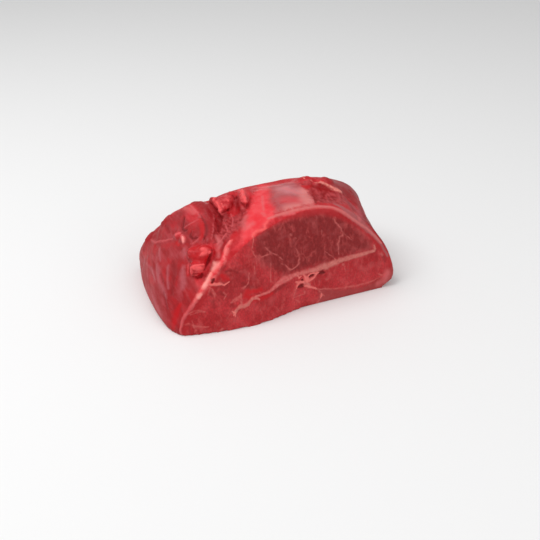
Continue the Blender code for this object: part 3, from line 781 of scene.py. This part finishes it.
def refine(piece):
    """Finer faces on the front cut and where the skin is torn, and finer ones again along the fat."""
    places = read_mesh(piece.data)[0]
    behind = behind_cuts(places)[0]
    lines = CRAGS + SEAM + TENDON + SHADED_GROOVES + PALE_LINES_AND_HIGHLIGHTS + SHADED_CREASES + FAT_NUB
    rough = near(places, lines) > FINE_ON_MARK
    torn = (inside(places[:, :2], MOTTLED_HOLLOW) > 0.5) & (places[:, 2] > HOLLOW_ABOVE_Z)
    halve_faces(piece, (places[:, 2] > FINE_ABOVE_Z) & ((behind < FINE_BEHIND_CUT) | rough | torn))
    places = read_mesh(piece.data)[0]
    behind = behind_cuts(places)[0]
    fat = near(places[:, [0, 2]], GRISTLE + FAT_KNOTS + VEINS + SHADED_HOLES, FINE_NEAR_FAT) > 0.3
    halve_faces(piece, (places[:, 2] > FINE_ABOVE_Z) & (behind < 0.5 * FINE_BEHIND_CUT) & fat)


def dress(piece):
    """Moves the skin into its relief and keeps the masks on it."""
    places, normals = read_mesh(piece.data)
    masks = fields(places, normals)
    places = places + normals * relief(places, masks)[:, None]
    places[:, 2] = np.maximum(places[:, 2], 0.0)
    piece.data.vertices.foreach_set("co", (places * MM).ravel())
    piece.data.update()
    for name, values in masks.items():
        attribute = piece.data.attributes.new(name, "FLOAT", "POINT")
        attribute.data.foreach_set("value", values.astype(np.float32))
    piece.data.shade_smooth()


# Material

# Colours. A pair runs from the first to the second with its pattern.
MUSCLE = srgb(176, 30, 36), srgb(202, 52, 58)
GRAIN = srgb(104, 10, 14)
BLOTCH = srgb(144, 18, 24)
PALE_GRAIN = srgb(208, 86, 84)
MARBLING = srgb(208, 92, 88)
HAZE = srgb(188, 84, 84)
SKIN = srgb(182, 20, 30), srgb(204, 46, 54)
# The left flank's streaked skin: its own colour, made darker than the top partly as painted shade on that
# side
LEFT_FLANK_PARTLY_SHADED = srgb(150, 20, 26), srgb(168, 50, 56)
RIGHT_SKIN = srgb(138, 22, 26), srgb(156, 52, 54)
WET_SKIN = srgb(178, 14, 24)
DRY_SKIN = srgb(172, 62, 68)
CORAL = srgb(224, 42, 52), srgb(230, 72, 78)
SILVER = srgb(172, 74, 78), srgb(186, 96, 98)
TORN = srgb(140, 16, 22), srgb(178, 58, 62)
CRAG = srgb(180, 30, 38), srgb(208, 66, 70)
FOLD = srgb(148, 24, 30)
# Painted shade in the creases
CREASE_SHADE = srgb(116, 2, 10)
TENDON_FAT = srgb(214, 112, 104), srgb(244, 152, 140)
VEIN = srgb(206, 100, 96)
GRISTLE_TO_TAN = srgb(210, 92, 92), srgb(200, 110, 102)
GRISTLE_FLECK = srgb(224, 128, 120)
KNOT = srgb(234, 116, 110)
SEAM_TO_PALE = srgb(230, 62, 68), srgb(240, 112, 110)
LOW_SEAM = srgb(198, 82, 86)

# Marks: mask, raggedness of its edge, the mask's value where the mark starts and where it is full,
# strength, colour. They are laid on in this order.
MUSCLE_MARKS = (
    ("brown", 0.3, 0.3, 0.85, 0.55, srgb(146, 26, 30)),
    ("dark", 0.4, 0.3, 0.82, 0.92, srgb(130, 27, 28)),
)
CUT_MARKS = (
    ("rim", 0.14, 0.3, 0.75, 0.78, srgb(172, 20, 28)),
    ("shade", 0.4, 0.0, 1.0, 0.5, srgb(120, 18, 20)),
    ("crimson", 0.8, 0.0, 0.9, 0.85, srgb(192, 14, 24)),
    ("lower", 0.12, 0.4, 0.62, 0.65, srgb(158, 62, 62)),
)
FILM_MARKS = (("lilac", 0.6, 0.0, 1.2, 0.52, srgb(184, 98, 106)),)
# The white and light places are pale membrane, partly painted sheen
SILVER_MARKS = (
    ("grey", 0.0, 0.0, 1.0, 0.75, srgb(166, 74, 78)),
    ("white", 0.0, 0.0, 1.0, 0.7, srgb(206, 126, 132)),
    ("rose", 0.0, 0.1, 0.9, 0.8, srgb(204, 66, 72)),
    ("light", 0.0, 0.1, 0.9, 0.7, srgb(222, 128, 124)),
)
# The tips are partly painted highlight along the ridges of the flaps
MEAT_MARKS = (
    ("arcs", 0.0, 0.5, 1.0, 0.25, srgb(180, 62, 68)),
    ("red", 0.0, 0.0, 0.9, 0.8, srgb(188, 4, 16)),
    ("tips", 0.0, 0.05, 0.85, 0.9, srgb(238, 88, 90)),
    ("side line", 0.0, 0.0, 1.0, 0.6, srgb(176, 40, 46)),
)
# Painted shade in the grooves and hollows (the deep red partly the meat's own colour), a pale band edge,
# and pale lines partly painted highlight along fold edges
HOLLOW_MARKS = (
    ("deep red", 0.0, 0.0, 0.9, 0.85, srgb(142, 8, 14)),
    ("deep", 0.0, 0.0, 1.0, 0.82, srgb(134, 8, 16)),
    ("band edge", 0.0, 0.0, 1.0, 0.8, srgb(238, 92, 90)),
    ("line", 0.4, 0.0, 1.1, 0.5, srgb(220, 98, 102)),
)
# The edge skin is partly painted highlight along the front right edge, and the soft pink partly painted
# sheen
PALE_MARKS = (
    ("edge skin", 0.4, 0.1, 0.8, 0.8, srgb(166, 90, 92)),
    ("strip", 0.2, 0.05, 0.95, 0.78, srgb(212, 112, 110)),
    ("pink", 0.0, 0.0, 1.0, 0.5, srgb(216, 106, 108)),
)
# The holes' dark colour is painted shade inside them
FAT_MARKS = (
    ("holes", 0.0, 0.05, 0.8, 0.85, srgb(112, 12, 14)),
    ("nub", 0.3, 0.0, 1.0, 0.8, srgb(230, 98, 102)),
    ("fat", 0.3, 0.05, 1.0, 0.8, srgb(250, 160, 152)),
)

# Where the gristle turns from pink to tan along the cut, and the seam from bright to dull down it
TAN_LEFT_X = (-24.0, -34.0)
TAN_RIGHT_X = (-10.0, 30.0)
DULL_SEAM_Z = (34.0, 18.0)

# Sockets of a Mix node that mixes colours
MIX_FACTOR, MIX_BELOW, MIX_ABOVE, MIX_RESULT = 0, 6, 7, 2

SHEEN = 0.42
DULLER_FIBRE = 0.16
DULLER_HOLLOW = 0.35
FIBRE_BUMP = {"Strength": 0.35, "Distance": 0.5 * MM}
BEEF_SHADING = {
    "Specular IOR Level": 0.2,
    "Subsurface Weight": 0.1,
    "Subsurface Radius": (1.0, 0.2, 0.15),
    "Subsurface Scale": 2.0 * MM,
    "Coat Weight": 0.05,
    "Coat Roughness": 0.25,
}


class Value:
    """A number that changes over the surface. Python's operators on it add Math nodes."""

    def __init__(self, maker, socket):
        self.maker, self.socket = maker, socket

    def math(self, operation, *inputs):
        node = self.maker.node("Math", {"operation": operation}, dict(enumerate(inputs)))
        return Value(self.maker, node.outputs[0])

    def __add__(self, other):
        return self.math("ADD", self, other)

    __radd__ = __add__

    def __sub__(self, other):
        return self.math("SUBTRACT", self, other)

    def __rsub__(self, other):
        return self.math("SUBTRACT", other, self)

    def __mul__(self, other):
        return self.math("MULTIPLY", self, other)

    __rmul__ = __mul__

    def larger(self, other):
        """This number or the other, whichever is larger at each place."""
        return self.math("MAXIMUM", self, other)

    def between(self, start, end):
        """0 at start, 1 at end and smooth between."""
        node = self.maker.node(
            "MapRange",
            {"interpolation_type": "SMOOTHSTEP"},
            {"Value": self, "From Min": min(start, end), "From Max": max(start, end)},
        )
        value = Value(self.maker, node.outputs["Result"])
        return value if end > start else 1.0 - value


class Maker:
    """Adds nodes to a material."""

    def __init__(self, name):
        self.material = bpy.data.materials.new(name)
        self.material.use_nodes = True
        self.tree = self.material.node_tree
        self.shader = self.tree.nodes["Principled BSDF"]
        self.place = self.node("TexCoord", {}, {}).outputs["Object"]

    def node(self, kind, settings, inputs):
        """One node of this type: its settings are set first, then its sockets' values or links."""
        made = self.tree.nodes.new("ShaderNode" + kind)
        for name, value in settings.items():
            setattr(made, name, value)
        for name, value in inputs.items():
            self.feed(made.inputs[name], value)
        return made

    def feed(self, socket, value):
        """Links a value or a socket to this socket, or sets a constant on it."""
        if isinstance(value, Value):
            value = value.socket
        if isinstance(value, bpy.types.NodeSocket):
            self.tree.links.new(value, socket)
        else:
            socket.default_value = value

    def mask(self, name):
        node = self.node("Attribute", {"attribute_name": name, "attribute_type": "GEOMETRY"}, {})
        return Value(self, node.outputs["Fac"])

    def axis(self, name):
        """How far along this axis the place lies, in metres."""
        return Value(self, self.node("SeparateXYZ", {}, {"Vector": self.place}).outputs[name])

    def along(self, name, limits):
        """0 at the first limit on this axis and 1 at the second, both in millimetres."""
        start, end = limits
        return self.axis(name).between(start * MM, end * MM)

    def ragged(self, name, vector, amount, start, end):
        """0 where the mask is at start and 1 at end, with an edge made uneven by this much noise."""
        mask = self.mask(name)
        if amount:
            mask = mask + (self.cloud(vector, 0.45, detail=2.0) - 0.5) * amount
        return mask.between(start, end)

    def marked(self, colour, marks, vector):
        """The colour with these marks laid on it in turn."""
        for name, raggedness, start, end, strength, above in marks:
            shown = self.ragged(name, vector, raggedness, start, end) * strength
            colour = self.mix(shown, colour, above)
        return colour

    def stretched(self, turn=(0.0, 0.0, 0.0), scale=(1.0, 1.0, 1.0)):
        """The place in millimetres, turned and stretched."""
        inputs = {"Vector": self.place, "Rotation": turn, "Scale": [part / MM for part in scale]}
        return self.node("Mapping", {"vector_type": "POINT"}, inputs).outputs["Vector"]

    def cloud(self, vector, scale, detail=3.0, roughness=0.55):
        inputs = {"Vector": vector, "Scale": scale, "Detail": detail, "Roughness": roughness}
        return Value(self, self.node("TexNoise", {}, inputs).outputs["Fac"])

    def cells(self, vector, scale, feature="F1"):
        inputs = {"Vector": vector, "Scale": scale, "Randomness": 1.0}
        return Value(self, self.node("TexVoronoi", {"feature": feature}, inputs).outputs["Distance"])

    def cracks(self, vector, scale, width):
        """Thin lines of a web: 1 on a line and 0 past this share of a cell."""
        return self.cells(vector, scale, "DISTANCE_TO_EDGE").between(width, 0.0)

    def warped(self, vector, scale, amount):
        """A place moved a little by coloured noise, so that lines wander."""
        push = self.node("TexNoise", {}, {"Vector": vector, "Scale": scale, "Detail": 2.0}).outputs["Color"]
        inputs = {0: push, 1: (0.5, 0.5, 0.5)}
        centred = self.node("VectorMath", {"operation": "SUBTRACT"}, inputs).outputs[0]
        inputs = {0: centred, 1: (amount, amount, amount), 2: vector}
        return self.node("VectorMath", {"operation": "MULTIPLY_ADD"}, inputs).outputs[0]

    def mix(self, factor, below, above):
        """The colour below where the factor is 0, and the one above where it is 1."""
        settings = {"data_type": "RGBA", "blend_type": "MIX", "clamp_factor": True}
        inputs = {MIX_FACTOR: factor, MIX_BELOW: below, MIX_ABOVE: above}
        return self.node("Mix", settings, inputs).outputs[MIX_RESULT]


def cut_colour(m, flat):
    """The cut muscle: darker in the middle, redder along the rim, with a fine grain and faint marbling."""
    colour = m.mix(m.cloud(flat, 0.06, detail=2.0).between(0.3, 0.7), *MUSCLE)
    colour = m.marked(colour, MUSCLE_MARKS, flat)
    grain = m.cells(m.stretched(scale=(1.0, 0.2, 0.8)), 0.75)
    colour = m.mix(grain.between(0.2, 0.8) * 0.3, colour, GRAIN)
    blotch = m.cloud(m.warped(flat, 0.2, 3.0), 0.16, detail=4.0, roughness=0.7)
    colour = m.mix(blotch.between(0.44, 0.7) * 0.3, colour, BLOTCH)
    upright = m.warped(m.stretched(scale=(1.0, 0.2, 0.55)), 0.3, 2.4)
    pale = m.cloud(upright, 0.34, detail=4.0)
    colour = m.mix(pale.between(0.48, 0.76) * 0.4, colour, PALE_GRAIN)
    web = m.cracks(upright, 0.12, 0.07) * m.cloud(flat, 0.1, detail=2.0).between(0.46, 0.7)
    colour = m.mix(web * 0.32, colour, MARBLING)
    haze = m.cloud(m.warped(flat, 0.1, 4.0), 0.12, detail=2.0)
    colour = m.mix(haze.between(0.48, 0.72) * 0.3, colour, HAZE)
    return m.marked(colour, CUT_MARKS, flat), grain


def bare_skin(m, swept):
    """Streaks with wet and dry places, duller on the left flank and the right skin, with lilac film. The
    left flank's darker tone is partly painted shade.
    """
    streak = m.cloud(m.stretched(scale=(1.0, 0.22, 0.6)), 0.4, detail=4.0)
    skin = m.mix(streak.between(0.35, 0.68), *SKIN)
    side = m.cloud(m.stretched(turn=(FLANK_TURN, 0.0, 0.0), scale=(1.0, 0.12, 0.5)), 0.34, detail=4.0)
    # The left flank is darker, partly painted shade
    skin = m.mix(m.mask("left"), skin, m.mix(side.between(0.4, 0.7), *LEFT_FLANK_PARTLY_SHADED))
    wet = m.cloud(m.warped(m.stretched(scale=(1.0, 0.45, 0.7)), 0.1, 3.0), 0.14, detail=4.0)
    skin = m.mix(wet.between(0.46, 0.64) * 0.6, skin, WET_SKIN)
    skin = m.mix(wet.between(0.44, 0.3) * 0.5, skin, DRY_SKIN)
    sheet = m.cloud(m.warped(m.stretched(scale=(0.5, 0.16, 0.9)), 0.2, 2.0), 0.3, detail=5.0)
    skin = m.mix(m.mask("right"), skin, m.mix(sheet.between(0.3, 0.72), *RIGHT_SKIN))
    return m.marked(skin, FILM_MARKS, swept), streak


def silver_skin(m, swept):
    """The pearly patch, with its grey, white, rosy and light places; the white and light ones are partly
    painted sheen.
    """
    silver = m.mix(m.cloud(swept, 0.16).between(0.35, 0.65), *SILVER)
    return m.marked(silver, SILVER_MARKS, swept)


def torn_meat(m):
    """Open fibres where the skin is torn away."""
    fibre = m.mask("web") * 0.6 + m.cloud(m.stretched(scale=(1.0, 0.4, 0.7)), 0.5, detail=4.0) * 0.7
    return m.mix(fibre.between(0.35, 0.95), *TORN)


def skin_colour(m, flat, swept):
    """The skin side: bare skin, the coral band, the silver skin, torn meat, crags, folds and tendon, with
    painted shade in the creases, grooves and hollows and painted highlight on crag tips and pale lines.
    """
    skin, streak = bare_skin(m, swept)
    coral = m.mix(m.cloud(swept, 0.1).between(0.35, 0.65), *CORAL)
    skin = m.mix(m.ragged("coral", swept, 0.3, 0.36, 0.68), skin, coral)
    skin = m.mix(m.ragged("silver", swept, 0.6, 0.22, 0.8), skin, silver_skin(m, swept))
    skin = m.mix(m.ragged("torn", flat, 0.5, 0.38, 0.64), skin, torn_meat(m))
    crag = m.mix(m.cloud(flat, 0.22).between(0.35, 0.65), *CRAG)
    skin = m.mix(m.ragged("crag", flat, 0.08, 0.44, 0.54), skin, crag)
    skin = m.mix(m.mask("fold") * 0.8, skin, FOLD)
    # Crag tips, partly painted highlight along the flap ridges
    skin = m.marked(skin, MEAT_MARKS, flat)
    # Painted shade in the creases, stronger higher up
    darker_up = 0.4 + 0.42 * m.along("Z", CREASE_Z)
    skin = m.mix(m.mask("dark line").between(0.0, 1.0) * darker_up, skin, CREASE_SHADE)
    # Painted shade in the grooves and hollows, a pale band edge, and pale lines that are partly painted
    # highlight
    skin = m.marked(skin, HOLLOW_MARKS, flat)
    tendon = m.mix(m.cloud(swept, 0.5).between(0.35, 0.65), *TENDON_FAT)
    return m.mix(m.ragged("tendon", swept, 0.5, 0.15, 0.85) * 0.9, skin, tendon), streak


def gristle_colour(m, swept):
    """Pink gristle with tan ends and lighter flecks."""
    tan = m.along("X", TAN_RIGHT_X).larger(m.along("X", TAN_LEFT_X))
    return m.mix(m.cloud(swept, 0.5).between(0.4, 0.6) * 0.4, m.mix(tan, *GRISTLE_TO_TAN), GRISTLE_FLECK)


def seam_colour(m, swept):
    """The seam's fat, duller towards its foot."""
    seam = m.mix(m.cloud(swept, 0.24).between(0.38, 0.62), *SEAM_TO_PALE)
    return m.mix(m.along("Z", DULL_SEAM_Z) * 0.8, seam, LOW_SEAM)


def fat_colour(m, colour, flat, swept):
    """Veins, gristle, knots of fat and the seam, over the cut and the skin, with pale edge skin partly
    painted highlight, soft pink partly painted sheen, and painted shade in holes.
    """
    patchy = m.cloud(flat, 0.3).between(0.3, 0.62)
    # Pale edge skin and soft pink, partly painted highlight and sheen
    colour = m.marked(colour, PALE_MARKS, swept)
    colour = m.mix(m.mask("veins").between(0.0, 1.0) * (0.15 + 0.5 * patchy), colour, VEIN)
    gristle = m.ragged("gristle", swept, 0.2, 0.1, 0.85) * (0.65 + 0.3 * patchy)
    colour = m.mix(gristle, colour, gristle_colour(m, swept))
    colour = m.mix(m.ragged("knots", swept, 0.4, 0.05, 0.95) * 0.88, colour, KNOT)
    colour = m.mix(m.ragged("seam", swept, 0.35, 0.0, 0.9) * 0.88, colour, seam_colour(m, swept))
    # Painted shade in the holes, then the nub and the fat
    return m.marked(colour, FAT_MARKS, swept)


def raw_beef():
    """Moist raw beef: a grained cut with marbling, and a skin of streaks, silver skin and torn meat."""
    m = Maker("raw beef")
    flat = m.stretched()
    swept = m.warped(flat, 0.11, 5.0)
    cut, grain = cut_colour(m, flat)
    skin, streak = skin_colour(m, flat, swept)
    on_cut = m.ragged("cut", flat, 0.1, 0.56, 0.68)
    fine = m.cloud(flat, 1.4)
    height = fine * 0.5 + grain * on_cut * 0.5 + streak * 0.5
    bump = m.node("Bump", {}, {**FIBRE_BUMP, "Height": height})
    dull = SHEEN + DULLER_FIBRE * fine + DULLER_HOLLOW * m.mask("deep").between(0.0, 0.8)
    m.feed(m.shader.inputs["Base Color"], fat_colour(m, m.mix(on_cut, skin, cut), flat, swept))
    m.feed(m.shader.inputs["Normal"], bump.outputs["Normal"])
    m.feed(m.shader.inputs["Roughness"], dull)
    for name, value in BEEF_SHADING.items():
        m.shader.inputs[name].default_value = value
    return m.material


def meat():
    piece = merged_copy(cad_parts["chuck_blade"], "chuck_blade_meat")
    even_skin(piece)
    refine(piece)
    dress(piece)
    piece.data.materials.clear()
    piece.data.materials.append(raw_beef())
    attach(piece, "root")
    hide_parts("chuck_blade")
    return piece


# Studio

FLOOR_SIZE = 8.0
FLOOR_COLOUR = srgb(236, 236, 236)
FLOOR_ROUGHNESS = 0.8
CAMERA_PLACE = (-224.7, -509.3, 328.0)
CAMERA_PITCH = 60.0
CAMERA_TURN = -24.3
LENS = 55.73
SENSOR = 36.0
WORLD_STRENGTH = 0.55
LIT_POINT = (0.0, 0.0, 0.035)
KEY_LIGHT = {"place": (-0.6, 0.1, 1.1), "size": 0.8, "power": 9.0}
FILL_LIGHT = {"place": (0.5, -1.0, 0.8), "size": 1.0, "power": 4.0}


def plain(name, colour, roughness):
    maker = Maker(name)
    maker.feed(maker.shader.inputs["Base Color"], colour)
    maker.shader.inputs["Roughness"].default_value = roughness
    return maker.material


def floor():
    mesh = bmesh.new()
    bmesh.ops.create_grid(mesh, x_segments=1, y_segments=1, size=FLOOR_SIZE / 2)
    data = bpy.data.meshes.new("floor")
    mesh.to_mesh(data)
    mesh.free()
    sheet = bpy.data.objects.new("floor", data)
    bpy.context.scene.collection.objects.link(sheet)
    sheet.data.materials.append(plain("pale floor", FLOOR_COLOUR, FLOOR_ROUGHNESS))


def camera():
    data = bpy.data.cameras.new("camera")
    data.lens, data.sensor_width = LENS, SENSOR
    eye = bpy.data.objects.new("camera", data)
    eye.location = [part * MM for part in CAMERA_PLACE]
    eye.rotation_euler = (math.radians(CAMERA_PITCH), 0.0, math.radians(CAMERA_TURN))
    bpy.context.scene.collection.objects.link(eye)
    bpy.context.scene.camera = eye


def softbox(name, place, size, power):
    """A square area light that faces the middle of the meat."""
    data = bpy.data.lights.new(name, "AREA")
    data.shape = "SQUARE"
    data.size = size
    data.energy = power
    lamp = bpy.data.objects.new(name, data)
    lamp.location = place
    aim = Vector(LIT_POINT) - Vector(place)
    lamp.rotation_euler = aim.to_track_quat("-Z", "Y").to_euler()
    bpy.context.scene.collection.objects.link(lamp)


def studio():
    scene = bpy.context.scene
    scene.view_settings.view_transform = "Standard"
    world = bpy.data.worlds.new("studio")
    world.use_nodes = True
    sky = world.node_tree.nodes["Background"]
    sky.inputs["Color"].default_value = (1.0, 1.0, 1.0, 1.0)
    sky.inputs["Strength"].default_value = WORLD_STRENGTH
    scene.world = world
    softbox("key", **KEY_LIGHT)
    softbox("fill", **FILL_LIGHT)
    floor()
    camera()


def main():
    meat()
    studio()


main()
